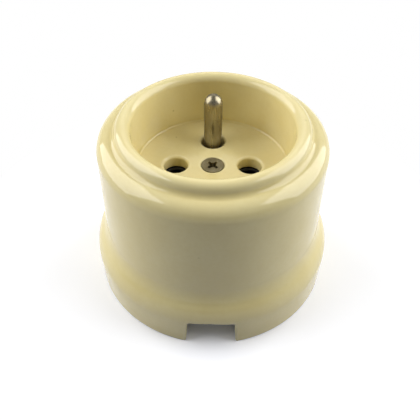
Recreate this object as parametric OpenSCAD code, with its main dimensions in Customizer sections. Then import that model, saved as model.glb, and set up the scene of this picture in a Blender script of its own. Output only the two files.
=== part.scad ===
// Round surface socket with a glazed ceramic housing, an earth pin and an insulated contact block.
// Millimetres, +Z out of the wall. The origin is the centre of the foot, on the wall plane.

/* [Plug interface] */
// Distance between the two contact holes
pin_pitch = 19; // [18:0.5:20]
// Diameter of a plug pin and of the earth pin
pin_d = 4.8; // [4:0.1:5]
// Distance from the line of the contact holes to the earth pin
earth_offset = 10; // [9:0.5:11]
// Height of the earth pin above the recess floor
earth_reach = 14.3; // [12:0.1:17]
// Length of the plug pins that the contacts have to take in
plug_pin_l = 19; // [17:0.5:20]

/* [Recess] */
// Diameter of the recess at its floor
recess_d = 39.4; // [38:0.2:44]
// Depth of the recess below the lip
recess_depth = 13.8; // [12:0.2:16]
// Widening of the recess on each side, from floor to lip
recess_draft = 0.1; // [0:0.1:1.5]
// Radius between the recess floor and its wall
recess_fillet = 0.5; // [0.4:0.1:2]
// Diameter of the three holes in the ceramic floor
entry_d = 6.1; // [5.8:0.1:7]
// Rounding of the hole edges
entry_round = 0.7; // [0.4:0.1:1.4]
// Thickness of the ceramic floor
floor_t = 3.7; // [2.6:0.1:4.5]

/* [Housing] */
// Height of the room under the deck, for the earth nut, the screw heads and the wires
under_deck = 8.5; // [7:0.1:14]
// Rounding radius of the lip
lip_r = 1.9; // [1.5:0.1:2.4]
// Height of the lip above the shoulder
lip_rise = 2.7; // [2.5:0.1:4]
// Least width of the flat ring between the lip and the shoulder
ledge_w = 0.2; // [0.1:0.1:2]
// Rounding radius of the shoulder
shoulder_r = 3.7; // [2.5:0.1:5]
// Widening of the body on each side, from shoulder to foot
body_taper = 0.8; // [0:0.1:2]
// How far the foot stands out from the body
foot_flare = 3.4; // [2:0.1:4]
// Height of the foot's upright skirt, below the curve that runs up into the body
foot_h = 8.3; // [7.5:0.1:10]
// Rounding radius of the foot's shoulder, above the skirt
foot_round = 8.2; // [5:0.1:9]
// Radius of the cove between foot and body
cove_r = 8.1; // [4:0.1:9]
// Thickness of the ceramic wall
wall_t = 4.2; // [3:0.1:4.8]

/* [Cable entry] */
// Width of the cable notch in the foot, at the wall
notch_w = 12.8; // [8:0.2:14]
// Narrowing of the notch on each side, from the wall to its upper edge
notch_draft = 0.65; // [0:0.05:1]
// Height of the cable notch
notch_h = 8.7; // [6:0.1:9]
// Unevenness of the notch's broken upper edge
notch_wave = 0.35; // [0:0.05:0.6]

/* [Insulator] */
// Gap between the wall plane and the foot plate
plate_gap = 0.4; // [0.2:0.1:1]
// Thickness of the foot plate
plate_t = 3.0; // [2:0.1:3.6]
// Thickness of the deck that carries the contacts
deck_t = 3.5; // [2.5:0.1:4]
// Thickness of the moulded walls
mould_t = 2.0; // [1.4:0.1:2.4]
// Gap between the insulator and the ceramic around it
side_clear = 0.5; // [0.3:0.1:1]
// Spacing of the two wall screw slots
slot_spacing = 42; // [40:0.5:43]
// Width of a wall screw slot
slot_w = 4.4; // [3.6:0.1:5]
// Length of a wall screw slot, end to end
slot_l = 7.0; // [6:0.1:8]
// Diameter of the well above each slot, for the head of the wall screw
well_d = 10; // [8:0.5:11]

/* [Contacts and terminals] */
// Thickness of the contact strip
strip_t = 0.8; // [0.6:0.1:1]
// Width of the contact strip and of its two leaves
strip_w = 6.0; // [5:0.1:6.4]
// Gap between the two leaves at their waist
waist_gap = 4.3; // [4:0.1:4.7]
// Thickness of the steel clip round the leaves
clip_t = 0.6; // [0.4:0.1:0.8]
// Width and length of a terminal cage
cage_w = 7.0; // [6.4:0.1:7.6]
// Gap between the cap and the live terminals
cage_gap = 3.15; // [2:0.05:4]
// Gap between the cap and the earth terminal
earth_cage_gap = 1.2; // [0.8:0.1:2]
// Height of a terminal cage
cage_h = 8.2; // [7.4:0.1:9]
// Width of the wire window in a cage
window_w = 4.4; // [3.8:0.1:4.8]
// Height of the wire window in a cage
window_h = 4.4; // [3.6:0.1:5]
// Diameter of a terminal screw's thread
terminal_screw_d = 3.8; // [3:0.1:4]

/* [Fasteners] */
// Diameter of the cover screw's thread
cover_screw_d = 3.0; // [2.9:0.1:4]
// Diameter of the cover screw's head
cover_head_d = 5.7; // [5.4:0.1:7]
// Length of the cover screw
cover_screw_l = 12; // [10:0.5:16]
// Diameter of the assembly screws
assembly_screw_d = 2.9; // [2.5:0.1:3.2]
// Width of the earth nut across its flats
nut_af = 7; // [6:0.5:8]
// Radial clearance of a screw or pin in its hole
fit = 0.05; // [0.03:0.01:0.1]

/* [Hidden] */

ceramic_colour = [0.87, 0.81, 0.62];
black = [0.06, 0.06, 0.06];
brass = [0.80, 0.65, 0.35];
nickel = [0.68, 0.66, 0.60];
steel = [0.62, 0.62, 0.62];
far = 200;      // longer than anything it cuts
over = 1;       // how far a cut runs past the face it opens
steps = 8;      // straight pieces in each arc
fine = 96;      // facets of a large round
medium = 48;    // facets of a small round

// Levels, worked out from the wall: a plug pin just clears the contact strip
tip_clear = 0.9;
deck_low_z = under_deck;
deck_z = deck_low_z + deck_t;
floor_z = deck_z + strip_t + tip_clear + plug_pin_l;
under_floor_z = floor_z - floor_t;
housing_h = floor_z + recess_depth;
plate_z = plate_gap + plate_t;

// Contact leaves, from the strip up: a straight foot, a waist where they pinch, and a flared mouth
pin_x = pin_pitch / 2;
waist_out = waist_gap / 2 + strip_t;
leaf_foot = 0.4;
leaf_foot_h = 3;
waist_h = 8;
waist_half = 1;
leaf_flare = 1.0;
leaf_top_gap = 0.8;
clip_h = 1.6;

// Cap with a chamber for each contact
chamber_gap = 0.3;
cap_top_t = 2.2;
cap_corner = 2;
pilot_clear = 0.1;
entry_clear = 0.3;
mouth_chamfer = [0.3, 0.5];
slot_gap = 0.2;
chamber_x = waist_out + max(clip_t, leaf_flare) + chamber_gap;
chamber_y = strip_w / 2 + clip_t + chamber_gap;
chamber_top_z = under_floor_z - cap_top_t;
cap_half_x = pin_x + chamber_x + mould_t;
pilot_r = pin_d / 2 + pilot_clear;
cap_back_y = earth_offset + pilot_r + mould_t;
contact_hole_r = pin_d / 2 + entry_clear;

// Assembly screws hold the cap on the base, from below
assembly_grip = 9;
assembly_rim = 1.35;
assembly_head_r = assembly_screw_d / 2 + assembly_rim;
assembly_head_h = 1.8;
head_clear = 0.2;
front_screw_gap = 0.4;
back_screw_gap = 1.2;
back_screw_out = 1.5;
front_wall = 1.6;
assembly_x = pin_x + back_screw_out;
assembly_back_y = chamber_y + mould_t + assembly_screw_d / 2 + back_screw_gap;
assembly_front_y = -(chamber_y + assembly_screw_d / 2 + front_screw_gap);
cap_front_y = assembly_front_y - assembly_screw_d / 2 - front_wall;
assembly_places = [[0, assembly_front_y, 0], [-assembly_x, assembly_back_y, 0],
                   [assembly_x, assembly_back_y, 0]];

// Terminal cages stand before and behind the cap
cage_floor = 1.2;
cage_y = cage_gap + cage_w / 2 - cap_front_y;
earth_cage_y = cap_back_y + earth_cage_gap + cage_w / 2;
cage_z = deck_z - cage_floor;
cage_top_z = cage_z + cage_h;
cage_places = [[-pin_x, -cage_y, 0], [pin_x, -cage_y, 0], [0, earth_cage_y, 0]];
tail_in = 1.2;
terminal_thread_l = 5.4;
terminal_lift = 0.8;
terminal_rim = 1.1;
terminal_head_r = terminal_screw_d / 2 + terminal_rim;
terminal_head_h = 2;
driver_slot = 1;

// The block reaches past the outermost corners of the cages and of the cap
edge_in = 0.6;
works_r = edge_in + max(norm([pin_x + cage_w / 2, cage_y + cage_w / 2]),
                        norm([cage_w / 2, earth_cage_y + cage_w / 2]),
                        norm([cap_half_x - cap_corner, cap_back_y - cap_corner]) + cap_corner);

// Housing: the body is as wide as the recess, or the works inside, need it
mouth_r = recess_d / 2 + recess_draft;
lip_out_r = mouth_r + 2 * lip_r;
groove_r = lip_rise - lip_r;
shoulder_z = housing_h - lip_rise;
body_top_r = max(lip_out_r + groove_r + ledge_w + shoulder_r, works_r + side_clear + wall_t);
body_low_r = body_top_r + body_taper;
cavity_r = body_top_r - wall_t;
cavity_fillet = 1.5;
block_r = cavity_r - side_clear;

// The foot plate takes in the whole of the wall screw slots, and the foot takes in the plate
plate_clear = 2 * side_clear;
slot_reach = (slot_spacing + slot_l) / 2 + mould_t;
foot_r = max(body_low_r + foot_flare, slot_reach + plate_clear + wall_t);
flare = foot_r - body_low_r;
foot_edge = 0.5;
skirt_r = foot_r - wall_t;
skirt_rise = 3.4;
skirt_z = foot_h + skirt_rise;
skirt_slope = 0.6;
plate_r = skirt_r - plate_clear;

// The ogee between foot and body: a convex round that runs into a hollow cove
ogee_a = acos(max(0, 1 - flare / (foot_round + cove_r)));
cove_z = foot_h + (foot_round + cove_r) * sin(ogee_a);

// The notch's upper edge: places along its half width, and rises as shares of notch_wave
notch_edge = [[-0.9, -0.9], [-0.65, -0.3], [-0.3, 0.3], [-0.05, 0.6], [0.25, 0.2], [0.6, -0.8], [0.9, -1.2]];
notch_corner = 1;

// The wires come in over the foot plate and up a channel between the cages
cage_rib = 0.8;
channel_w = pin_pitch - cage_w - 2 * cage_rib;
channel_y = assembly_front_y - assembly_head_r - head_clear - mould_t;
wire_lap = 4;
plate_notch_y = wire_lap - block_r;
well_places = [[-slot_spacing / 2, 0, 0], [slot_spacing / 2, 0, 0]];

// Earth stud below the pin
thread_step = 0.4;
earth_thread_r = pin_d / 2 - thread_step;
washer_t = 0.8;
washer_rim = 0.7;
washer_r = nut_af / 2 + washer_rim;
nut_t = 3.0;
stud_end = 0.6;
stud_low_z = deck_low_z - washer_t - nut_t - stud_end;
nut_room = 1;
dome_h = 2.8;

// Cover screw: a flat head on a cone of 90 degrees, held by an insert in the cap
cover_shank_r = cover_screw_d / 2 - fit;
cover_head_r = cover_head_d / 2;
head_rim = 0.25;
head_sink = 0.1;
shank_clear = 0.2;
seat_ease = 0.5;
thread_tip = 0.6;
insert_wall = 0.9;
insert_r = cover_screw_d / 2 + insert_wall;
insert_l = 6;

// Cross recesses: reach as a share of the head's radius, depth, width of a wing as a share of the reach,
// and radii of the core as shares of that width
cover_cross = 0.58;
cover_cross_depth = 1.8;
assembly_cross = 0.6;
assembly_cross_depth = 1.3;
wing_share = 0.5;
core_low = 0.5;
core_top = 1.1;

function arc(cx, cz, r, a0, a1) =
    [for (i = [0:steps]) let (a = a0 + (a1 - a0) * i / steps) [cx + r * cos(a), cz + r * sin(a)]];

function round_box(x0, x1, y0, y1, r) = concat(
    arc(x1 - r, y1 - r, r, 0, 90), arc(x0 + r, y1 - r, r, 90, 180),
    arc(x0 + r, y0 + r, r, 180, 270), arc(x1 - r, y0 + r, r, 270, 360));

module at(places) {
    for (p = places) translate(p) children();
}

// A rod along the housing's axis that starts at a level and runs past everything above it
module long_rod(r, from = 0) {
    translate([0, 0, from]) cylinder(r = r, h = far, $fn = medium);
}

// Ceramic housing

function housing_profile() = concat(
    [[0, 0]],
    arc(foot_r - foot_edge, foot_edge, foot_edge, -90, 0),
    arc(foot_r - foot_round, foot_h, foot_round, 0, ogee_a),
    arc(body_low_r + cove_r, cove_z, cove_r, 180 + ogee_a, 180),
    arc(body_top_r - shoulder_r, shoulder_z - shoulder_r, shoulder_r, 0, 90),
    arc(lip_out_r + groove_r, shoulder_z + groove_r, groove_r, 270, 180),
    arc(lip_out_r - lip_r, housing_h - lip_r, lip_r, 0, 180),
    arc(recess_d / 2 - recess_fillet, floor_z + recess_fillet, recess_fillet, 0, -90),
    [[0, floor_z]]);

function cavity_profile() = concat(
    [[0, -over], [skirt_r, -over], [skirt_r, skirt_z - skirt_slope * (skirt_r - cavity_r)],
     [cavity_r, skirt_z]],
    arc(cavity_r - cavity_fillet, under_floor_z - cavity_fillet, cavity_fillet, 0, 90),
    [[0, under_floor_z]]);

// A hole down through the ceramic floor whose upper edge is rounded over
module soft_hole(r, round) {
    rotate_extrude($fn = fine)
        polygon(concat(
            [[0, under_floor_z - over], [r, under_floor_z - over]],
            arc(r + round, floor_z - round, round, 180, 90),
            [[r + round, floor_z + over], [0, floor_z + over]]));
}

// The hole for the cover screw: its cone lies against the head, and its edge is eased
module screw_seat() {
    head_r = cover_head_r + fit;
    shank_r = cover_shank_r + shank_clear;
    rim_z = floor_z - head_sink - head_rim + fit;
    rotate_extrude($fn = fine)
        polygon([[0, under_floor_z - over], [shank_r, under_floor_z - over],
                 [shank_r, rim_z - (head_r - shank_r)], [head_r, rim_z], [head_r, floor_z - head_sink],
                 [head_r + seat_ease, floor_z - head_sink + seat_ease], [head_r + seat_ease, floor_z + over],
                 [0, floor_z + over]]);
}

// The notch has been broken out by hand, so its upper edge wanders
module cable_notch() {
    side = function (z) notch_w / 2 - notch_draft * z / notch_h;
    corner_z = notch_h - notch_corner;
    upper = [for (i = [len(notch_edge) - 1:-1:0])
        [notch_edge[i][0] * side(notch_h), notch_h + notch_edge[i][1] * notch_wave]];
    translate([0, over - cavity_r, 0])
        rotate([90, 0, 0])
            linear_extrude(foot_r - cavity_r + 2 * over)
                polygon(concat([[side(-over), -over], [side(corner_z), corner_z]], upper,
                    [[-side(corner_z), corner_z], [-side(-over), -over]]));
}

module ceramic_housing() color(ceramic_colour)
    difference() {
        rotate_extrude($fn = fine) polygon(housing_profile());
        rotate_extrude($fn = fine) polygon(cavity_profile());
        at([[-pin_x, 0, 0], [pin_x, 0, 0], [0, earth_offset, 0]]) soft_hole(entry_d / 2, entry_round);
        screw_seat();
        cable_notch();
    }

// Insulator: a base with a deck, and a cap over the contacts

module base_outline(inset) {
    difference() {
        circle(block_r - inset, $fn = fine);
        at(well_places) circle(well_d / 2 + inset, $fn = medium);
        translate([-channel_w / 2 - inset, channel_y + inset - far]) square([channel_w + 2 * inset, far]);
    }
}

module wall_screw_slot() {
    run = (slot_l - slot_w) / 2;
    linear_extrude(far, center = true) {
        at([[-run, 0], [run, 0]]) circle(slot_w / 2, $fn = medium);
        square([2 * run, slot_w], center = true);
    }
}

// The hollow under the deck, with bosses round the screws and two ribs left standing
module base_hollow() {
    difference() {
        linear_extrude(deck_low_z) base_outline(mould_t);
        linear_extrude(deck_z) {
            at(assembly_places) circle(assembly_head_r + head_clear + mould_t, $fn = medium);
            at([[-pin_x, 0, 0], [pin_x, 0, 0]]) square([mould_t, far], center = true);
        }
    }
}

module insulator_base() color(black)
    difference() {
        union() {
            translate([0, 0, plate_gap]) cylinder(r = plate_r, h = plate_t, $fn = fine);
            translate([0, 0, plate_gap]) linear_extrude(deck_z - plate_gap) base_outline(0);
        }
        base_hollow();
        at(well_places) wall_screw_slot();
        translate([-notch_w / 2, plate_notch_y - far, 0]) cube([notch_w, far, plate_z + over]);
        at(assembly_places) {
            long_rod(assembly_screw_d / 2 + fit);
            cylinder(r = assembly_head_r + head_clear, h = deck_low_z, $fn = medium);
        }
        translate([0, earth_offset, 0]) {
            long_rod(earth_thread_r + fit);
            cylinder(r = nut_af / sqrt(3) + nut_room, h = deck_low_z, $fn = medium);
        }
        at(cage_places) translate([-cage_w / 2 - fit, -cage_w / 2 - fit, cage_z])
            cube([cage_w + 2 * fit, cage_w + 2 * fit, far]);
    }

// The groove in the cap's lower face that a strip leaves by, towards -Y
module strip_groove(start) {
    half = strip_w / 2 + slot_gap;
    translate([-half, start - far, 0]) cube([2 * half, far, deck_z + strip_t + slot_gap]);
}

// The plug pin enters through a hole with a chamfered mouth
module contact_entry() {
    mouth = contact_hole_r + mouth_chamfer[0];
    rotate_extrude($fn = medium)
        polygon([[0, chamber_top_z - over], [contact_hole_r, chamber_top_z - over],
                 [contact_hole_r, under_floor_z - mouth_chamfer[1]], [mouth, under_floor_z],
                 [mouth, under_floor_z + over], [0, under_floor_z + over]]);
}

module insulator_cap() color(black)
    difference() {
        translate([0, 0, deck_z])
            linear_extrude(under_floor_z - deck_z)
                polygon(round_box(-cap_half_x, cap_half_x, cap_front_y, cap_back_y, cap_corner));
        at([[-pin_x, 0, 0], [pin_x, 0, 0]]) {
            translate([-chamber_x, -chamber_y, 0]) cube([2 * chamber_x, 2 * chamber_y, chamber_top_z]);
            contact_entry();
            strip_groove(0);
        }
        translate([0, earth_offset, 0]) {
            long_rod(pilot_r);
            mirror([0, 1, 0]) strip_groove(strip_w / 2 + slot_gap);
        }
        long_rod(cover_shank_r + shank_clear);
        long_rod(insert_r + fit, under_floor_z - insert_l);
        at(assembly_places)
            cylinder(r = assembly_screw_d / 2 + fit, h = deck_z + assembly_grip + over, $fn = medium);
        at(well_places) long_rod(well_d / 2);
    }

// Earth circuit

module earth_pin() color(nickel)
    translate([0, earth_offset, 0])
        rotate_extrude($fn = medium)
            polygon(concat(
                [[0, stud_low_z], [earth_thread_r, stud_low_z], [earth_thread_r, deck_z + strip_t],
                 [pin_d / 2, deck_z + strip_t]],
                [for (p = arc(0, 0, 1, 0, 90))
                    [p[0] * pin_d / 2, floor_z + earth_reach + (p[1] - 1) * dome_h]]));

module earth_stud_hole() {
    translate([0, earth_offset, 0]) long_rod(earth_thread_r + fit);
}

module earth_strap() color(brass)
    difference() {
        start_y = earth_offset - strip_w / 2;
        end_y = earth_cage_y + cage_w / 2 - tail_in;
        translate([-strip_w / 2, start_y, deck_z]) cube([strip_w, end_y - start_y, strip_t]);
        earth_stud_hole();
        translate([0, earth_cage_y, 0]) strip_shoulders();
    }

// Narrows a strip to the width of the cage's window
module strip_shoulders() {
    tail_w = window_w - 2 * fit;
    for (side = [-1, 1])
        translate([side * (tail_w / 2 + strip_w / 2), 0, 0])
            cube([strip_w, cage_w + 2 * slot_gap, far], center = true);
}

module earth_washer() color(nickel)
    difference() {
        translate([0, earth_offset, deck_low_z - washer_t])
            cylinder(r = washer_r, h = washer_t, $fn = medium);
        earth_stud_hole();
    }

module earth_nut() color(brass)
    difference() {
        translate([0, earth_offset, deck_low_z - washer_t - nut_t])
            cylinder(r = nut_af / sqrt(3), h = nut_t, $fn = 6);
        earth_stud_hole();
    }

// Live contacts: a strip folded up into two leaves that pinch the plug pin

function leaf_line() =
    let (low = deck_z + strip_t / 2, middle = waist_out - strip_t / 2)
    [[middle + leaf_foot, low], [middle + leaf_foot, low + leaf_foot_h],
     [middle, low + waist_h - waist_half], [middle, low + waist_h + waist_half],
     [middle + leaf_flare, chamber_top_z - leaf_top_gap]];

module leaf() {
    line = leaf_line();
    rotate([90, 0, 0])
        linear_extrude(strip_w, center = true)
            polygon(concat([for (p = line) p + [strip_t / 2, 0]],
                [for (i = [len(line) - 1:-1:0]) line[i] - [strip_t / 2, 0]]));
}

module live_contact(side) color(brass)
    translate([side * pin_x, 0, 0])
        difference() {
            tail_y = -cage_y - cage_w / 2 + tail_in;
            root = waist_out + leaf_foot;
            union() {
                leaf();
                mirror([1, 0, 0]) leaf();
                translate([-strip_w / 2, tail_y, deck_z]) cube([strip_w, strip_w / 2 - tail_y, strip_t]);
                translate([-root, -strip_w / 2, deck_z]) cube([2 * root, strip_w, strip_t]);
            }
            translate([0, -cage_y, 0]) strip_shoulders();
        }

module contact_clip(side) color(steel)
    translate([side * pin_x, 0, deck_z + strip_t / 2 + waist_h - clip_h / 2])
        linear_extrude(clip_h)
            difference() {
                inner = [2 * (waist_out + fit), strip_w + 2 * fit];
                square(inner + 2 * [clip_t, clip_t], center = true);
                square(inner, center = true);
            }

// Terminals: a brass cage with a screw that presses the wire on the strip

module terminal_cage(place) color(brass)
    translate(place)
        difference() {
            translate([-cage_w / 2, -cage_w / 2, cage_z]) cube([cage_w, cage_w, cage_h]);
            translate([-window_w / 2, -far / 2, deck_z]) cube([window_w, far, window_h]);
            long_rod(terminal_screw_d / 2 + fit, deck_z + over);
        }

module terminal_screw(place) color(steel)
    translate(place + [0, 0, cage_top_z + terminal_lift])
        difference() {
            union() {
                translate([0, 0, -terminal_thread_l])
                    cylinder(d = terminal_screw_d, h = terminal_thread_l + over, $fn = medium);
                cylinder(r = terminal_head_r, h = terminal_head_h, $fn = medium);
            }
            translate([-far / 2, -driver_slot / 2, terminal_head_h - driver_slot])
                cube([far, driver_slot, far]);
        }

// Fasteners

// Cross recess cut down into a screw head whose top is at z = 0
module cross_recess(reach, depth) {
    wing = reach * wing_share;
    for (a = [45, 135])
        rotate([90, 0, a])
            linear_extrude(wing, center = true)
                polygon([[-reach, over], [reach, over], [reach, 0], [wing, -depth], [-wing, -depth],
                         [-reach, 0]]);
    translate([0, 0, -depth])
        cylinder(r1 = wing * core_low, r2 = wing * core_top, h = depth + fit, $fn = medium);
}

module cover_screw() color(steel)
    translate([0, 0, floor_z - head_sink])
        difference() {
            rotate_extrude($fn = medium)
                polygon([[0, -cover_screw_l], [cover_shank_r - thread_tip, -cover_screw_l],
                         [cover_shank_r, thread_tip - cover_screw_l],
                         [cover_shank_r, -head_rim - (cover_head_r - cover_shank_r)],
                         [cover_head_r, -head_rim], [cover_head_r, 0], [0, 0]]);
            cross_recess(cover_head_r * cover_cross, cover_cross_depth);
        }

module cover_insert() color(brass)
    difference() {
        translate([0, 0, under_floor_z - insert_l]) cylinder(r = insert_r, h = insert_l, $fn = medium);
        long_rod(cover_shank_r + fit);
    }

module assembly_screw(place) color(steel)
    translate(place + [0, 0, deck_low_z - assembly_head_h])
        difference() {
            union() {
                cylinder(d = assembly_screw_d, h = assembly_head_h + deck_t + assembly_grip, $fn = medium);
                cylinder(r = assembly_head_r, h = assembly_head_h, $fn = medium);
            }
            rotate([180, 0, 0]) cross_recess(assembly_head_r * assembly_cross, assembly_cross_depth);
        }

ceramic_housing();
insulator_base();
insulator_cap();
earth_pin();
earth_strap();
earth_washer();
earth_nut();
live_contact(-1);  // live_contact_left
live_contact(1);  // live_contact_right
contact_clip(-1);  // contact_clip_left
contact_clip(1);  // contact_clip_right
terminal_cage(cage_places[0]);  // terminal_cage_left
terminal_cage(cage_places[1]);  // terminal_cage_right
terminal_cage(cage_places[2]);  // terminal_cage_earth
terminal_screw(cage_places[0]);  // terminal_screw_left
terminal_screw(cage_places[1]);  // terminal_screw_right
terminal_screw(cage_places[2]);  // terminal_screw_earth
cover_screw();
cover_insert();
assembly_screw(assembly_places[0]);  // assembly_screw_front
assembly_screw(assembly_places[1]);  // assembly_screw_back_left
assembly_screw(assembly_places[2]);  // assembly_screw_back_right
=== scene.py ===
import math

import bpy
import numpy as np
from mathutils import Matrix, Vector


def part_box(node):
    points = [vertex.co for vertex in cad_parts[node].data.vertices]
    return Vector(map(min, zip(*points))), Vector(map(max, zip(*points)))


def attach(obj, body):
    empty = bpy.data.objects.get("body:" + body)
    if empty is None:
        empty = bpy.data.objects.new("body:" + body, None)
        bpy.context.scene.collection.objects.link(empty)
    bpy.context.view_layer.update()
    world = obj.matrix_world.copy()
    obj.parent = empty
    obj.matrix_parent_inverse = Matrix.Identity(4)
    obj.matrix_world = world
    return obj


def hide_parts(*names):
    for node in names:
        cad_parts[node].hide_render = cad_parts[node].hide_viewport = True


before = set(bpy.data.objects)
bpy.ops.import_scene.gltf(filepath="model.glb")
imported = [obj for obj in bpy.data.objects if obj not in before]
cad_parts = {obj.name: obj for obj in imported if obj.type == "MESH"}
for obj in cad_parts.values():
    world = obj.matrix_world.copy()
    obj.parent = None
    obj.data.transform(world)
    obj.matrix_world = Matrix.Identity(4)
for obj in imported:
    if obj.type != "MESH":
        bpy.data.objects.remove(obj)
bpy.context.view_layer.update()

# Lengths are written in millimetres and angles in degrees, and MM turns a length into metres.
MM = 0.001


def box_mm(node):
    """A node's lowest and highest corners in millimetres."""
    low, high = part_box(node)
    return low / MM, high / MM


def srgb(red, green, blue):
    """A colour given in 8-bit sRGB, as Blender's linear one."""
    return tuple(((c / 255 + 0.055) / 1.055) ** 2.4 if c > 10 else c / 255 / 12.92
                 for c in (red, green, blue)) + (1,)


# Sizes read from the frame
HOUSING_HIGH = box_mm("ceramic_housing")[1]
PIN_LOW, PIN_HIGH = box_mm("earth_pin")
SCREW_HIGH = box_mm("cover_screw")[1]
CONTACT_LOW, CONTACT_HIGH = box_mm("live_contact_right")
LIP_Z = HOUSING_HIGH.z
FOOT_R = HOUSING_HIGH.x
PIN_R = PIN_HIGH.x
EARTH_Y = (PIN_LOW.y + PIN_HIGH.y) / 2
CONTACT_X = (CONTACT_LOW.x + CONTACT_HIGH.x) / 2
UNDER_FLOOR_Z = box_mm("insulator_cap")[1].z
STRIP_TOP_Z = box_mm("earth_strap")[1].z
HEAD_SINK = 0.1
FLOOR_Z = SCREW_HIGH.z + HEAD_SINK
SCREW_HEAD_R = SCREW_HIGH.x

# Section of the housing: foot and wall, lip, recess, hollow inside, and the seat of the cover screw
FOOT_H = 8.3
FOOT_FLARE = 3.4
FOOT_ROUND = 8.2
FOOT_EDGE = 0.3
COVE_R = 8.1
SKIRT_RISE = 3.4
BODY_TAPER = 0.8
SHOULDER_R = 3.7
LIP_RISE = 2.7
LIP_R = 1.9
GROOVE_R = 1.4
MOUTH_R = 19.8
FLOOR_R = 19.7
FLOOR_FILLET = 0.5
WALL_T = 4.2
CAVITY_FILLET = 1.5
SKIRT_SLOPE = 0.6
SEAT_GAP = 0.05
SEAT_ROUND = 0.5
SHANK_HOLE_R = 1.65
HEAD_RIM = 0.25

# Holes and cable notch. The notch's upper edge rises by NOTCH_WAVE times each of NOTCH_RISES at NOTCH_PLACES,
# which are shares of its half width.
HOLE_R = 3.05
HOLE_ROUND = 0.7
NOTCH_HALF = 6.4
NOTCH_H = 8.7
NOTCH_DRAFT = 0.65
NOTCH_CORNER = 0.7
NOTCH_ROUND = 0.45
NOTCH_WAVE = 0.35
NOTCH_PLACES = (-1, -0.65, -0.3, -0.05, 0.25, 0.6, 1)
NOTCH_RISES = (-0.9, -0.3, 0.3, 0.6, 0.2, -0.8, -1.2)
NOTCH_CHIPS = 0.06

# Unevenness of the housing: how far it lies under the true form, and how high above the wall it is full
SUNK = 0.04
SUNK_FROM = 2

# Grid of the housing's surface. Angles in degrees, with the finer step on both sides of the notch; radii and
# heights with their start and then each stretch's end and step.
FINE_HALF = 18
FINE_STEP = 0.9
WIDE_STEP = 1.8
RADII = (1.2, (4.2, 0.25), (5.6, 0.4), (13.7, 0.31), (17.5, 0.9), (33.2, 0.33))
HEIGHTS = (-0.6, (1.2, 0.3), (7, 0.9), (9.7, 0.3), (19, 0.6), (28.4, 1.5), (33.9, 0.3), (38.5, 1.1), (47.2, 0.31))

# Attributes of the housing: how far round a point its bend is measured, the bend at which the tint is full, and
# the height up to which the foot's lower edge is unglazed. The tint is darker pooled glaze in hollows, which is
# also painted shade there, and lighter thin glaze on crests, which is also a painted highlight there
BEND_REACH = 0.8
BEND_MOST = 1.2
BARE_TOP = 0.35

# Earth pin and the thread of its stud
DOME_H = 2.8
PIN_EDGE = 0.15
STUD_LESS = 0.4
THREAD_PITCH = 0.7
THREAD_DEPTH = 0.3

# Colours
GLAZE = srgb(230, 217, 162)
GLAZE_CLOUD = srgb(226, 211, 152)
GLAZE_GRAIN = srgb(220, 203, 140)
# Pooled glaze for hollows, also painted shade there; thin glaze for crests, also a painted highlight there
GLAZE_POOL_SHADE = srgb(222, 204, 134)
GLAZE_THIN_HIGHLIGHT = srgb(238, 228, 180)
SPECK = srgb(96, 82, 44)
BARE_CERAMIC = srgb(232, 226, 208)
BLACK, BLACK_LOW, BLACK_HIGH = srgb(11, 11, 11), srgb(9, 9, 9), srgb(15, 14, 14)
NICKEL = srgb(160, 152, 130), srgb(138, 129, 106)
BRASS = srgb(202, 168, 92), srgb(176, 138, 66)
ZINC = srgb(176, 174, 166), srgb(150, 146, 134)
DULL_ZINC = srgb(160, 151, 122), srgb(126, 117, 88)
PAPER = (0.9, 0.91, 0.96, 1)
PAPER_BOUNCE = (0.35, 0.345, 0.31, 1)
WHITE = (1, 1, 1, 1)

# Specks in the glaze: place, radius and strength
SPECKS = [((-10.9, 16.5, 37.7), 0.28, 0.3), ((-10.0, 11.4, 32.7), 0.24, 0.3), ((-2.9, -28.5, 30.0), 0.28, 0.12),
          ((21.9, 0.3, 46.5), 0.3, 0.15)]

# Threads that are relief only: their pitch, how far below its top the cover screw's thread ends, and a level
# above the whole part
SCREW_PITCH = 0.6
HEAD_DEPTH = 2.2
NO_END = 1000

# Camera, fitted to the photograph
PHOTO_PX = 420
FOCAL_PX = 480
SHIFT_PX = -1.28
SENSOR = 36
CAMERA_PLACE = (-0.60, -94.46, 112.56)
CAMERA_PITCH = 45.48
CAMERA_HEADING = 0.2
CAMERA_ROLL = 0.51

# Floor: its half width, how far it lies under the part, the reach of the shade and the lift near the part, and
# the distances between which it turns plain white
FLOOR_REACH = 1500
FLOOR_LOW = -0.02
SHADE_REACH = 25
NEAR_LIFT = 0.25
WHITE_FROM = 40
WHITE_TO = 80

# Lights: distance from the part, and the size of each square box
BOX_AWAY = 500
SIDE_BOX = 560
BACK_BOX = 300


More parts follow.
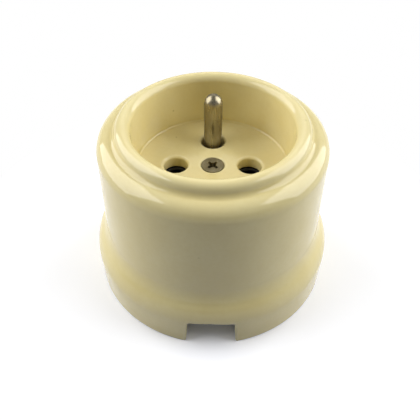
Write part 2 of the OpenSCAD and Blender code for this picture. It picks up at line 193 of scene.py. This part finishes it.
class Section:
    """A closed outline in the plane of radius and height, made of straight lines and true arcs."""

    def __init__(self, radius, height):
        self.path = [(radius, height)]
        self.lines = []
        self.arcs = []

    def line(self, radius, height):
        self.lines.append((self.path[-1], (radius, height)))
        self.path.append((radius, height))

    def arc(self, centre_r, centre_z, radius, start, end):
        steps = max(2, int(abs(end - start) / 2))
        angles = np.radians(np.linspace(start, end, steps + 1))
        points = [(centre_r + radius * math.cos(a), centre_z + radius * math.sin(a)) for a in angles]
        self.line(*points[0])
        self.path.extend(points[1:])
        self.arcs.append((centre_r, centre_z, radius, math.radians(start), math.radians(end)))

    def close(self):
        self.line(*self.path[0])

    def inside(self, r, z):
        """Whether each point lies inside the outline."""
        odd = np.zeros(r.shape, bool)
        for (r0, z0), (r1, z1) in zip(self.path, self.path[1:]):
            if z0 != z1:
                crosses = (z0 > z) != (z1 > z)
                odd ^= crosses & (r < r0 + (r1 - r0) * (z - z0) / (z1 - z0))
        return odd

    def signed(self, r, z):
        """Distance from the outline, negative inside it."""
        nearest = np.full(r.shape, np.inf)
        for (r0, z0), (r1, z1) in self.lines:
            run_r, run_z = r1 - r0, z1 - z0
            length = run_r ** 2 + run_z ** 2
            if length > 0:
                t = np.clip(((r - r0) * run_r + (z - z0) * run_z) / length, 0, 1)
                nearest = np.minimum(nearest, np.hypot(r - r0 - t * run_r, z - z0 - t * run_z))
        for centre_r, centre_z, radius, start, end in self.arcs:
            middle, half = (start + end) / 2, abs(end - start) / 2
            turn = np.arctan2(z - centre_z, r - centre_r) - middle
            turn = (turn + math.pi) % (2 * math.pi) - math.pi
            away = np.abs(np.hypot(r - centre_r, z - centre_z) - radius)
            nearest = np.where(np.abs(turn) <= half, np.minimum(nearest, away), nearest)
        return np.where(self.inside(r, z), -nearest, nearest)


def groove_between(upper, upper_r, lower, lower_r, radius):
    """The hollow round that touches two full rounds from outside, and the angles at which it does."""
    gap = np.linalg.norm(lower - upper)
    along = (lower - upper) / gap
    out = np.array((-along[1], along[0]))
    share = ((upper_r + radius) ** 2 - (lower_r + radius) ** 2 + gap ** 2) / (2 * gap)
    centre = upper + share * along + math.sqrt((upper_r + radius) ** 2 - share ** 2) * out
    angles = [math.degrees(math.atan2(*(end - centre)[::-1])) % 360 for end in (upper, lower)]
    return centre, angles[0], angles[1]


def housing_section():
    """The housing cut through its axis, from the foot outside, over the lip, to the hollow inside."""
    body_low_r = FOOT_R - FOOT_FLARE
    body_top_r = body_low_r - BODY_TAPER
    shoulder_z = LIP_Z - LIP_RISE
    lip_out_r = MOUTH_R + 2 * LIP_R
    skirt_r = FOOT_R - WALL_T
    cavity_r = body_top_r - WALL_T
    ogee = math.degrees(math.acos(1 - FOOT_FLARE / (FOOT_ROUND + COVE_R)))
    cove_z = FOOT_H + (FOOT_ROUND + COVE_R) * math.sin(math.radians(ogee))
    skirt_z = FOOT_H + SKIRT_RISE
    head_r = SCREW_HEAD_R + SEAT_GAP
    rim_z = SCREW_HIGH.z - HEAD_RIM + SEAT_GAP
    cut = Section(skirt_r, 0)
    cut.arc(FOOT_R - FOOT_EDGE, FOOT_EDGE, FOOT_EDGE, -90, 0)
    cut.arc(FOOT_R - FOOT_ROUND, FOOT_H, FOOT_ROUND, 0, ogee)
    cut.arc(body_low_r + COVE_R, cove_z, COVE_R, 180 + ogee, 180)
    lip = np.array((lip_out_r - LIP_R, LIP_Z - LIP_R))
    shoulder = np.array((body_top_r - SHOULDER_R, shoulder_z - SHOULDER_R))
    groove, to_lip, to_shoulder = groove_between(lip, LIP_R, shoulder, SHOULDER_R, GROOVE_R)
    cut.arc(*shoulder, SHOULDER_R, 0, to_shoulder - 180)
    cut.arc(*groove, GROOVE_R, to_shoulder, to_lip)
    cut.arc(*lip, LIP_R, to_lip - 180, 180)
    cut.arc(FLOOR_R - FLOOR_FILLET, FLOOR_Z + FLOOR_FILLET, FLOOR_FILLET, 0, -90)
    cut.arc(head_r + SEAT_ROUND, FLOOR_Z - SEAT_ROUND, SEAT_ROUND, 90, 180)
    cut.line(SHANK_HOLE_R, rim_z - (head_r - SHANK_HOLE_R))
    cut.line(SHANK_HOLE_R, UNDER_FLOOR_Z)
    cut.arc(cavity_r - CAVITY_FILLET, UNDER_FLOOR_Z - CAVITY_FILLET, CAVITY_FILLET, 90, 0)
    cut.line(cavity_r, skirt_z)
    cut.line(skirt_r, skirt_z - SKIRT_SLOPE * (skirt_r - cavity_r))
    cut.close()
    return cut


def rounded_cut(solid, tool, radius):
    """The solid less the tool, both as signed distances, with the new edge rounded."""
    corner = np.hypot(np.maximum(solid + radius, 0), np.maximum(radius - tool, 0))
    return np.minimum(np.maximum(solid, -tool), -radius) + corner


def notch_distance(x, z):
    """Signed distance from the cable notch, whose upper edge was broken out by hand."""
    rise = np.interp(x / NOTCH_HALF, NOTCH_PLACES, NOTCH_RISES) * NOTCH_WAVE
    upper = NOTCH_H + rise + NOTCH_CHIPS * np.sin(x * 5.1 + 1) * np.cos(x * 1.7)
    half = NOTCH_HALF - NOTCH_DRAFT * np.clip(z / NOTCH_H, 0, 1)
    side = np.abs(x) - half + NOTCH_CORNER
    top = z - upper + NOTCH_CORNER
    corner = np.hypot(np.maximum(side, 0), np.maximum(top, 0))
    return np.minimum(np.maximum(side, top), 0) + corner - NOTCH_CORNER


def unevenness(x, y, z):
    """The small waviness of a hand-finished glazed body, as a height that never passes the true form."""
    around = np.arctan2(y, x)
    wave = (0.018 * np.sin(3 * around + 0.11 * z + 0.6) + 0.012 * np.sin(5 * around - 0.17 * z + 2.1)
            + 0.008 * np.sin(0.9 * x + 0.5) * np.sin(0.8 * y - 0.3 * z) - SUNK)
    return wave * np.clip(z / SUNK_FROM, 0, 1)


def housing_field(points, section):
    """Signed distance from the whole housing, in millimetres."""
    x, y, z = points
    solid = section.signed(np.hypot(x, y), z) - unevenness(x, y, z)
    for hole_x, hole_y in ((-CONTACT_X, 0), (CONTACT_X, 0), (0, EARTH_Y)):
        solid = rounded_cut(solid, np.hypot(x - hole_x, y - hole_y) - HOLE_R, HOLE_ROUND)
    notch = np.where(y < 0, notch_distance(x, z), 1e3)
    return rounded_cut(solid, notch, NOTCH_ROUND)


def graded(start, *stretches):
    """Places along an axis: each stretch runs to its end in steps of about the given size."""
    places = [start]
    for end, step in stretches:
        count = max(1, round((end - places[-1]) / step))
        places.extend(np.linspace(places[-1], end, count + 1)[1:])
    return np.array(places)


def surface_net(field, angles, radii, heights):
    """Vertices and quads of the surface where a field on a grid round the Z axis passes through zero.
    The last angle joins the first."""
    turns, rings, rows = field.shape
    solid = field < 0
    step = np.diff(np.append(angles, angles[0] + 2 * math.pi))
    corner = [(a, b, c) for a in (0, 1) for b in (0, 1) for c in (0, 1)]

    def shifted(values, a, b, c):
        return np.roll(values, -a, axis=0)[:, b:rings - 1 + b, c:rows - 1 + c]

    count = sum(shifted(solid, *k).astype(np.int8) for k in corner)
    cells = np.argwhere((count > 0) & (count < 8))
    index = np.full(count.shape, -1)
    index[tuple(cells.T)] = np.arange(len(cells))
    t, r, h = cells.T
    total, crossings = np.zeros((len(cells), 3)), np.zeros(len(cells))
    for start in corner:
        for axis in range(3):
            if start[axis]:
                continue
            end = tuple(1 if k == axis else start[k] for k in range(3))
            f0 = field[(t + start[0]) % turns, r + start[1], h + start[2]]
            f1 = field[(t + end[0]) % turns, r + end[1], h + end[2]]
            crossed = (f0 < 0) != (f1 < 0)
            share = np.where(crossed, f0 / np.where(crossed, f0 - f1, 1), 0)
            place = np.array(start)[None, :] + share[:, None] * np.eye(3)[axis]
            total += np.where(crossed[:, None], place, 0)
            crossings += crossed
    place = total / crossings[:, None]
    angle = angles[t] + place[:, 0] * step[t]
    radius = radii[r] + place[:, 1] * (radii[r + 1] - radii[r])
    height = heights[h] + place[:, 2] * (heights[h + 1] - heights[h])
    vertices = np.stack([radius * np.cos(angle), radius * np.sin(angle), height])
    # For the grid's edges along each axis: their two ends, the four cells round them and the first edge's place
    following = np.roll(solid, -1, axis=0)
    edge_kinds = (
        (solid[:, 1:-1, 1:-1], following[:, 1:-1, 1:-1],
         ((0, -1, -1), (0, 0, -1), (0, 0, 0), (0, -1, 0)), (0, 1, 1)),
        (solid[:, :-1, 1:-1], solid[:, 1:, 1:-1],
         ((-1, 0, -1), (-1, 0, 0), (0, 0, 0), (0, 0, -1)), (0, 0, 1)),
        (solid[:, 1:-1, :-1], solid[:, 1:-1, 1:],
         ((-1, -1, 0), (0, -1, 0), (0, 0, 0), (-1, 0, 0)), (0, 1, 0)))
    quads = []
    for start, end, around, first in edge_kinds:
        for outward in (True, False):
            a, b, c = (np.argwhere((start & ~end) if outward else (~start & end)) + first).T
            corners = [index[(a + i) % turns, b + j, c + k] for i, j, k in around]
            quads.append(np.stack(corners[::-1] if outward else corners, axis=1))
    return vertices, np.concatenate(quads)


def gradient(field, points, reach):
    """The field's slope at the points, measured over reach on both sides."""
    slopes = []
    for axis in range(3):
        step = np.zeros((3, 1))
        step[axis] = reach
        slopes.append((field(points + step) - field(points - step)) / (2 * reach))
    return np.array(slopes)


def mesh_object(name, vertices, faces, smooth=True):
    """A new object from points in millimetres."""
    mesh = bpy.data.meshes.new(name)
    mesh.from_pydata((np.asarray(vertices) * MM).tolist(), [], [list(map(int, f)) for f in faces])
    mesh.validate()
    if smooth:
        mesh.shade_smooth()
    piece = bpy.data.objects.new(name, mesh)
    bpy.context.scene.collection.objects.link(piece)
    return piece


def add_attribute(piece, name, values):
    attribute = piece.data.attributes.new(name, "FLOAT", "POINT")
    attribute.data.foreach_set("value", np.asarray(values, np.float32))


def glazed_housing():
    """The housing as a mesh, moved onto its true surface, with normals from the field itself."""
    section = housing_section()
    front, near = math.radians(-90), math.radians(FINE_HALF)
    angles = graded(front - near, (front + near, math.radians(FINE_STEP)),
                    (front - near + 2 * math.pi, math.radians(WIDE_STEP)))[:-1]
    radii, heights = graded(*RADII), graded(*HEIGHTS)
    angle, radius, height = np.meshgrid(angles, radii, heights, indexing="ij")

    def field(points):
        return housing_field(points, section)

    grid = field(np.stack([radius * np.cos(angle), radius * np.sin(angle), height]).reshape(3, -1))
    vertices, quads = surface_net(grid.reshape(angle.shape), angles, radii, heights)
    for _ in range(3):
        slope = gradient(field, vertices, 0.02)
        vertices = vertices - field(vertices) * slope / np.maximum((slope ** 2).sum(0), 0.25)
    slope = gradient(field, vertices, 0.05)
    normals = (slope / np.linalg.norm(slope, axis=0)).T
    bend = sum(field(vertices + BEND_REACH * step) + field(vertices - BEND_REACH * step) - 2 * field(vertices)
               for step in np.eye(3)[:, :, None]) / BEND_REACH ** 2
    piece = mesh_object("glazed_housing", vertices.T, quads)
    # The bend tints hollows darker, as pooled glaze and painted shade, and crests lighter, as thin glaze and a
    # painted highlight
    add_attribute(piece, "pool_and_painted_shading", np.clip(-bend, -BEND_MOST, BEND_MOST))
    add_attribute(piece, "bare", np.clip(1 - vertices[2] / BARE_TOP, 0, 1))
    piece.data.normals_split_custom_set_from_vertices(normals.tolist())
    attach(piece, "root")
    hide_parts("ceramic_housing")
    return piece


def lathe(name, outline, turns, axis_y):
    """A closed turned body: the outline runs from the axis below to the axis above."""
    angles = np.linspace(0, 2 * math.pi, turns, endpoint=False)
    ring = [(r * math.cos(a), axis_y + r * math.sin(a), z) for r, z in outline[1:-1] for a in angles]
    points = ring + [(0, axis_y, outline[0][1]), (0, axis_y, outline[-1][1])]
    rings = len(outline) - 2
    faces = []
    for k in range(turns):
        after = (k + 1) % turns
        for row in range(rings - 1):
            low, high = row * turns, (row + 1) * turns
            faces.append((low + k, low + after, high + after, high + k))
        faces.append((rings * turns, after, k))
        faces.append((rings * turns + 1, (rings - 1) * turns + k, (rings - 1) * turns + after))
    return mesh_object(name, points, faces)


def rounded_outline(corners):
    """An outline from corners (radius, height, rounding): each corner with a rounding becomes an arc."""
    outline = []
    for k, (radius, height, rounding) in enumerate(corners):
        here = np.array((radius, height))
        if rounding == 0:
            outline.append(here)
            continue
        before = np.array(corners[k - 1][:2]) - here
        after = np.array(corners[k + 1][:2]) - here
        before, after = before / np.linalg.norm(before), after / np.linalg.norm(after)
        half = math.acos(np.clip(before @ after, -1, 1)) / 2
        centre = here + (before + after) / np.linalg.norm(before + after) * rounding / math.sin(half)
        start, end = here + before * rounding / math.tan(half), here + after * rounding / math.tan(half)
        first = math.atan2(*(start - centre)[::-1])
        turn = (math.atan2(*(end - centre)[::-1]) - first + math.pi) % (2 * math.pi) - math.pi
        outline.extend(centre + rounding * np.array((math.cos(first + turn * s), math.sin(first + turn * s)))
                       for s in np.linspace(0, 1, 5))
    return [tuple(map(float, point)) for point in outline]


def plated_pin():
    """The earth pin with its threaded stud below the deck."""
    stud_r = PIN_R - STUD_LESS
    root_r = stud_r - THREAD_DEPTH
    ridges = []
    z = PIN_LOW.z + STUD_LESS
    while z < STRIP_TOP_Z - THREAD_PITCH:
        ridges += [(stud_r, z, 0), (root_r, z + THREAD_PITCH / 2, 0)]
        z += THREAD_PITCH
    corners = [(0, PIN_LOW.z, 0), (root_r, PIN_LOW.z, 0)] + ridges + [
        (stud_r, STRIP_TOP_Z - 0.2, 0), (stud_r, STRIP_TOP_Z, 0), (PIN_R, STRIP_TOP_Z, PIN_EDGE)]
    dome_z = PIN_HIGH.z - DOME_H
    dome = [(PIN_R * math.cos(a), dome_z + DOME_H * math.sin(a)) for a in np.radians(np.linspace(0, 90, 24))]
    piece = lathe("plated_pin", rounded_outline(corners + [(PIN_R, dome_z - 0.01, 0)]) + dome, 96, EARTH_Y)
    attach(piece, "root")
    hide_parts("earth_pin")
    return piece


class Finish:
    """A material whose nodes are built around one Principled shader."""

    def __init__(self, name, colour, roughness, metallic=0.0):
        self.material = bpy.data.materials.new(name)
        self.material.use_nodes = True
        self.tree = self.material.node_tree
        self.shader = self.tree.nodes["Principled BSDF"]
        self.set("Base Color", colour)
        self.set("Roughness", roughness)
        self.set("Metallic", metallic)
        self.where = self.tree.nodes.new("ShaderNodeTexCoord").outputs["Object"]

    def set(self, socket, value):
        self.shader.inputs[socket].default_value = value

    def join(self, source, target):
        self.tree.links.new(source, target)

    def noise(self, size, detail=3.0, stretch=(1, 1, 1)):
        """Noise whose features are about size millimetres wide."""
        mapping = self.tree.nodes.new("ShaderNodeMapping")
        mapping.inputs["Scale"].default_value = stretch
        self.join(self.where, mapping.inputs["Vector"])
        texture = self.tree.nodes.new("ShaderNodeTexNoise")
        texture.inputs["Scale"].default_value = 1 / (size * MM)
        texture.inputs["Detail"].default_value = detail
        self.join(mapping.outputs["Vector"], texture.inputs["Vector"])
        return texture.outputs["Fac"]

    def ramp(self, source, low, high, to_low=0.0, to_high=1.0):
        """Maps the source from low..high to to_low..to_high, and holds it outside that."""
        node = self.tree.nodes.new("ShaderNodeMapRange")
        for socket, value in zip(("From Min", "From Max", "To Min", "To Max"), (low, high, to_low, to_high)):
            node.inputs[socket].default_value = value
        self.join(source, node.inputs["Value"])
        return node.outputs["Result"]

    def math(self, operation, first, second):
        node = self.tree.nodes.new("ShaderNodeMath")
        node.operation = operation
        for value, socket in zip((first, second), node.inputs):
            if isinstance(value, (int, float)):
                socket.default_value = value
            else:
                self.join(value, socket)
        return node.outputs["Value"]

    def mix(self, factor, first, second):
        """A colour mixed from two, each a colour or a socket."""
        node = self.tree.nodes.new("ShaderNodeMix")
        node.data_type = "RGBA"
        sockets = {socket.name: socket for socket in node.inputs if socket.enabled}
        for name, value in (("Factor", factor), ("A", first), ("B", second)):
            if isinstance(value, (int, float, tuple)):
                sockets[name].default_value = value
            else:
                self.join(value, sockets[name])
        return [s for s in node.outputs if s.enabled][0]

    def attribute(self, name):
        node = self.tree.nodes.new("ShaderNodeAttribute")
        node.attribute_name = name
        return node.outputs["Fac"]

    def distance(self, place):
        node = self.tree.nodes.new("ShaderNodeVectorMath")
        node.operation = "DISTANCE"
        self.join(self.where, node.inputs[0])
        node.inputs[1].default_value = Vector(place) * MM
        return node.outputs["Value"]

    def thread(self, pitch, top):
        """Rings round the Z axis, pitch millimetres apart, below the level top."""
        texture = self.tree.nodes.new("ShaderNodeTexWave")
        texture.bands_direction = "Z"
        texture.inputs["Scale"].default_value = math.pi / (10 * pitch * MM)
        self.join(self.where, texture.inputs["Vector"])
        split = self.tree.nodes.new("ShaderNodeSeparateXYZ")
        self.join(self.where, split.inputs["Vector"])
        below = self.ramp(split.outputs["Z"], (top - pitch) * MM, top * MM, 1, 0)
        return self.math("MULTIPLY", texture.outputs["Fac"], below)

    def bevel(self, radius):
        """Normals as if hard edges were rounded to a radius in millimetres."""
        node = self.tree.nodes.new("ShaderNodeBevel")
        node.samples = 4
        node.inputs["Radius"].default_value = radius * MM
        return node.outputs["Normal"]

    def bump(self, height, strength, depth, under=None):
        """Relief of depth millimetres."""
        node = self.tree.nodes.new("ShaderNodeBump")
        node.inputs["Strength"].default_value = strength
        node.inputs["Distance"].default_value = depth * MM
        self.join(height, node.inputs["Height"])
        if under is not None:
            self.join(under, node.inputs["Normal"])
        return node.outputs["Normal"]


def cream_glaze():
    """Cream glaze: clouded, darker where it pools in hollows, which also paints shade there, thin and lighter on
    edges, which also paints a highlight there, with specks and a bare lower edge.
    """
    finish = Finish("cream_glaze", GLAZE, 0.09)
    finish.set("IOR", 1.5)
    cloud = finish.noise(14, 2)
    colour = finish.mix(finish.ramp(cloud, 0.35, 0.65), GLAZE, GLAZE_CLOUD)
    fine = finish.noise(1.1, 4)
    colour = finish.mix(finish.ramp(fine, 0.35, 0.75, 0, 0.25), colour, GLAZE_GRAIN)
    pool_and_painted_shading = finish.attribute("pool_and_painted_shading")
    # Pooled glaze in hollows, also painted shade there
    colour = finish.mix(finish.ramp(pool_and_painted_shading, 0.05, 1.0, 0, 0.5), colour, GLAZE_POOL_SHADE)
    # Thin glaze on crests, also a painted highlight there
    colour = finish.mix(finish.ramp(pool_and_painted_shading, -0.15, -1.0, 0, 0.35), colour, GLAZE_THIN_HIGHLIGHT)
    for place, radius, strength in SPECKS:
        near = finish.ramp(finish.distance(place), radius * 0.5 * MM, radius * 1.3 * MM, strength, 0)
        colour = finish.mix(near, colour, SPECK)
    bare = finish.attribute("bare")
    colour = finish.mix(bare, colour, BARE_CERAMIC)
    finish.join(colour, finish.shader.inputs["Base Color"])
    rough = finish.ramp(finish.noise(5, 3), 0.3, 0.7, 0.06, 0.09)
    bare_rough = finish.math("MULTIPLY", bare, 0.75)
    finish.join(finish.math("MAXIMUM", rough, bare_rough), finish.shader.inputs["Roughness"])
    waves = finish.bump(finish.noise(6, 1), 1.0, 0.03)
    finish.join(finish.bump(fine, 0.25, 0.01, waves), finish.shader.inputs["Normal"])
    return finish.material


def black_moulding():
    """Black moulded plastic with a fine grain."""
    finish = Finish("black_moulding", BLACK, 0.42)
    grain = finish.noise(0.35, 4)
    colour = finish.mix(finish.ramp(finish.noise(6, 3), 0.3, 0.7), BLACK_LOW, BLACK_HIGH)
    finish.join(colour, finish.shader.inputs["Base Color"])
    finish.join(finish.ramp(grain, 0.3, 0.7, 0.34, 0.55), finish.shader.inputs["Roughness"])
    finish.join(finish.bump(grain, 0.4, 0.03, finish.bevel(0.15)), finish.shader.inputs["Normal"])
    return finish.material


def bright_metal(name, colours, roughness, grain=(1, 1, 0.05), grain_size=0.3, relief=0.004, pitch=0,
                 thread_top=NO_END):
    """Metal with a drawn or brushed grain and slight staining, and with a thread where a pitch is given."""
    pale, deep = colours
    finish = Finish(name, pale, roughness, 1.0)
    stain = finish.noise(4, 4)
    lines = finish.noise(grain_size, 3, grain)
    colour = finish.mix(finish.ramp(stain, 0.35, 0.7), pale, deep)
    finish.join(colour, finish.shader.inputs["Base Color"])
    rough = finish.ramp(lines, 0.25, 0.75, roughness * 0.7, roughness * 1.4)
    finish.join(rough, finish.shader.inputs["Roughness"])
    normal = finish.bump(lines, 0.6, relief, finish.bevel(0.1))
    if pitch:
        normal = finish.bump(finish.thread(pitch, thread_top), 1.0, pitch / 2, normal)
    finish.join(normal, finish.shader.inputs["Normal"])
    return finish.material


def dress(nodes, material):
    """Gives the CAD solids of these nodes a material."""
    for name in nodes:
        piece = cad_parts[name]
        piece.data.materials.clear()
        piece.data.materials.append(material)


def turn_to(location, pitch, heading, roll):
    """A camera's place and attitude: heading turns it round the Z axis, pitch is below the horizon."""
    turn = Matrix.Rotation(math.radians(heading), 4, "Z")
    tilt = Matrix.Rotation(math.radians(90 - pitch), 4, "X")
    lean = Matrix.Rotation(math.radians(roll), 4, "Z")
    return turn @ Matrix.Translation(Vector(location) * MM) @ tilt @ lean


def add_camera():
    """The camera at the photograph's place."""
    camera = bpy.data.objects.new("camera", bpy.data.cameras.new("camera"))
    bpy.context.scene.collection.objects.link(camera)
    camera.data.sensor_width = SENSOR
    camera.data.lens = SENSOR * FOCAL_PX / PHOTO_PX
    camera.data.shift_y = SHIFT_PX / PHOTO_PX
    camera.data.clip_start = MM
    camera.matrix_world = turn_to(CAMERA_PLACE, CAMERA_PITCH, CAMERA_HEADING, CAMERA_ROLL)
    bpy.context.scene.camera = camera


def add_floor():
    """A white floor: the camera sees it lifted a little near the object and plain white away from it, it throws
    back less light than it shows, and it can't be seen from below."""
    corners = [(x * FLOOR_REACH, y * FLOOR_REACH, FLOOR_LOW) for x, y in ((-1, -1), (1, -1), (1, 1), (-1, 1))]
    floor = mesh_object("floor", corners, [(0, 1, 2, 3)], smooth=False)
    material = bpy.data.materials.new("white_floor")
    material.use_nodes = True
    tree = material.node_tree
    tree.nodes.clear()

    def add(kind, **sockets):
        """A new node whose sockets, given by name or as _number, get a value or a link."""
        node = tree.nodes.new(kind)
        for name, value in sockets.items():
            socket = node.inputs[int(name[1:]) if name[1:].isdigit() else name]
            if isinstance(value, bpy.types.NodeSocket):
                tree.links.new(value, socket)
            else:
                socket.default_value = value
        return node

    path = add("ShaderNodeLightPath").outputs
    geometry = add("ShaderNodeNewGeometry").outputs
    seen = add("ShaderNodeMath", _0=path["Is Camera Ray"], _1=path["Is Glossy Ray"])
    seen.operation = "MAXIMUM"
    away = add("ShaderNodeVectorMath", _0=geometry["Position"])
    away.operation = "LENGTH"
    open_air = add("ShaderNodeAmbientOcclusion", Distance=SHADE_REACH * MM)
    open_air.samples = 8
    near = add("ShaderNodeMath", _0=open_air.outputs["AO"], _1=NEAR_LIFT)
    near.operation = "MULTIPLY"
    far = add("ShaderNodeMapRange", **{"Value": away.outputs["Value"], "From Min": WHITE_FROM * MM,
                                       "From Max": WHITE_TO * MM})
    glow = add("ShaderNodeEmission", Color=WHITE, Strength=near.outputs[0])
    paper = add("ShaderNodeBsdfDiffuse", Color=PAPER)
    close = add("ShaderNodeAddShader", _0=paper.outputs[0], _1=glow.outputs[0])
    white = add("ShaderNodeEmission", Color=WHITE, Strength=1.0)
    shown = add("ShaderNodeMixShader", _0=far.outputs[0], _1=close.outputs[0], _2=white.outputs[0])
    bounce = add("ShaderNodeBsdfDiffuse", Color=PAPER_BOUNCE)
    above = add("ShaderNodeMixShader", _0=seen.outputs[0], _1=bounce.outputs[0], _2=shown.outputs[0])
    clear = add("ShaderNodeBsdfTransparent")
    whole = add("ShaderNodeMixShader", _0=geometry["Backfacing"], _1=above.outputs[0], _2=clear.outputs[0])
    add("ShaderNodeOutputMaterial", Surface=whole.outputs[0])
    floor.data.materials.append(material)


def add_light(name, azimuth, elevation, size, power):
    """A soft square light that faces the object. Azimuth 0 is towards +X and 90 towards +Y."""
    data = bpy.data.lights.new(name, "AREA")
    data.shape = "SQUARE"
    data.size = size * MM
    data.energy = power
    light = bpy.data.objects.new(name, data)
    bpy.context.scene.collection.objects.link(light)
    a, e = math.radians(azimuth), math.radians(elevation)
    away = Vector((math.cos(a) * math.cos(e), math.sin(a) * math.cos(e), math.sin(e)))
    target = Vector((0, 0, LIP_Z / 2 * MM))
    light.location = target + away * BOX_AWAY * MM
    light.rotation_euler = away.to_track_quat("Z", "Y").to_euler()


def add_world(strength, mirrored):
    """A faint room: the camera sees it white, and mirrored is how bright it stands in reflections."""
    world = bpy.data.worlds.new("studio")
    world.use_nodes = True
    tree = world.node_tree
    background = tree.nodes["Background"]
    background.inputs["Color"].default_value = WHITE
    path = tree.nodes.new("ShaderNodeLightPath")
    level = strength
    for ray, value in (("Is Glossy Ray", mirrored), ("Is Camera Ray", 1)):
        choice = tree.nodes.new("ShaderNodeMix")
        tree.links.new(path.outputs[ray], choice.inputs["Factor"])
        if isinstance(level, float):
            choice.inputs["A"].default_value = level
        else:
            tree.links.new(level, choice.inputs["A"])
        choice.inputs["B"].default_value = value
        level = choice.outputs["Result"]
    tree.links.new(level, background.inputs["Strength"])
    bpy.context.scene.world = world


bpy.context.scene.view_settings.view_transform = "Standard"
glaze = cream_glaze()
moulding = black_moulding()
nickel = bright_metal("nickel_plate", NICKEL, 0.3)
brass = bright_metal("brass", BRASS, 0.28)
zinc = bright_metal("zinc_plate", ZINC, 0.32)
screw_zinc = bright_metal("screw_zinc", ZINC, 0.32, pitch=SCREW_PITCH)
dull_zinc = bright_metal("dull_zinc", DULL_ZINC, 0.42, grain=(1, 1, 1), grain_size=0.25, relief=0.01,
                         pitch=SCREW_PITCH, thread_top=SCREW_HIGH.z - HEAD_DEPTH)

housing = glazed_housing()
housing.data.materials.append(glaze)
pin = plated_pin()
pin.data.materials.append(nickel)
for starts, material, slot in (
        (("insulator_base", "insulator_cap"), moulding, "insulator"),
        (("earth_washer",), nickel, "plated_metal"),
        (("earth_strap", "earth_nut", "live_", "terminal_cage", "cover_insert"), brass, "brass"),
        (("contact_clip",), zinc, "steel"),
        (("terminal_screw", "assembly_"), screw_zinc, "steel"),
        (("cover_screw",), dull_zinc, "steel")):
    dress([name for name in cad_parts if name.startswith(starts)], material)

add_camera()
add_floor()
add_world(0.02, 0.3)
add_light("left_softbox", 168, 34, SIDE_BOX, 3.5)
add_light("right_softbox", 12, 34, SIDE_BOX, 3.5)
add_light("back_softbox", 90, 38, BACK_BOX, 0.2)
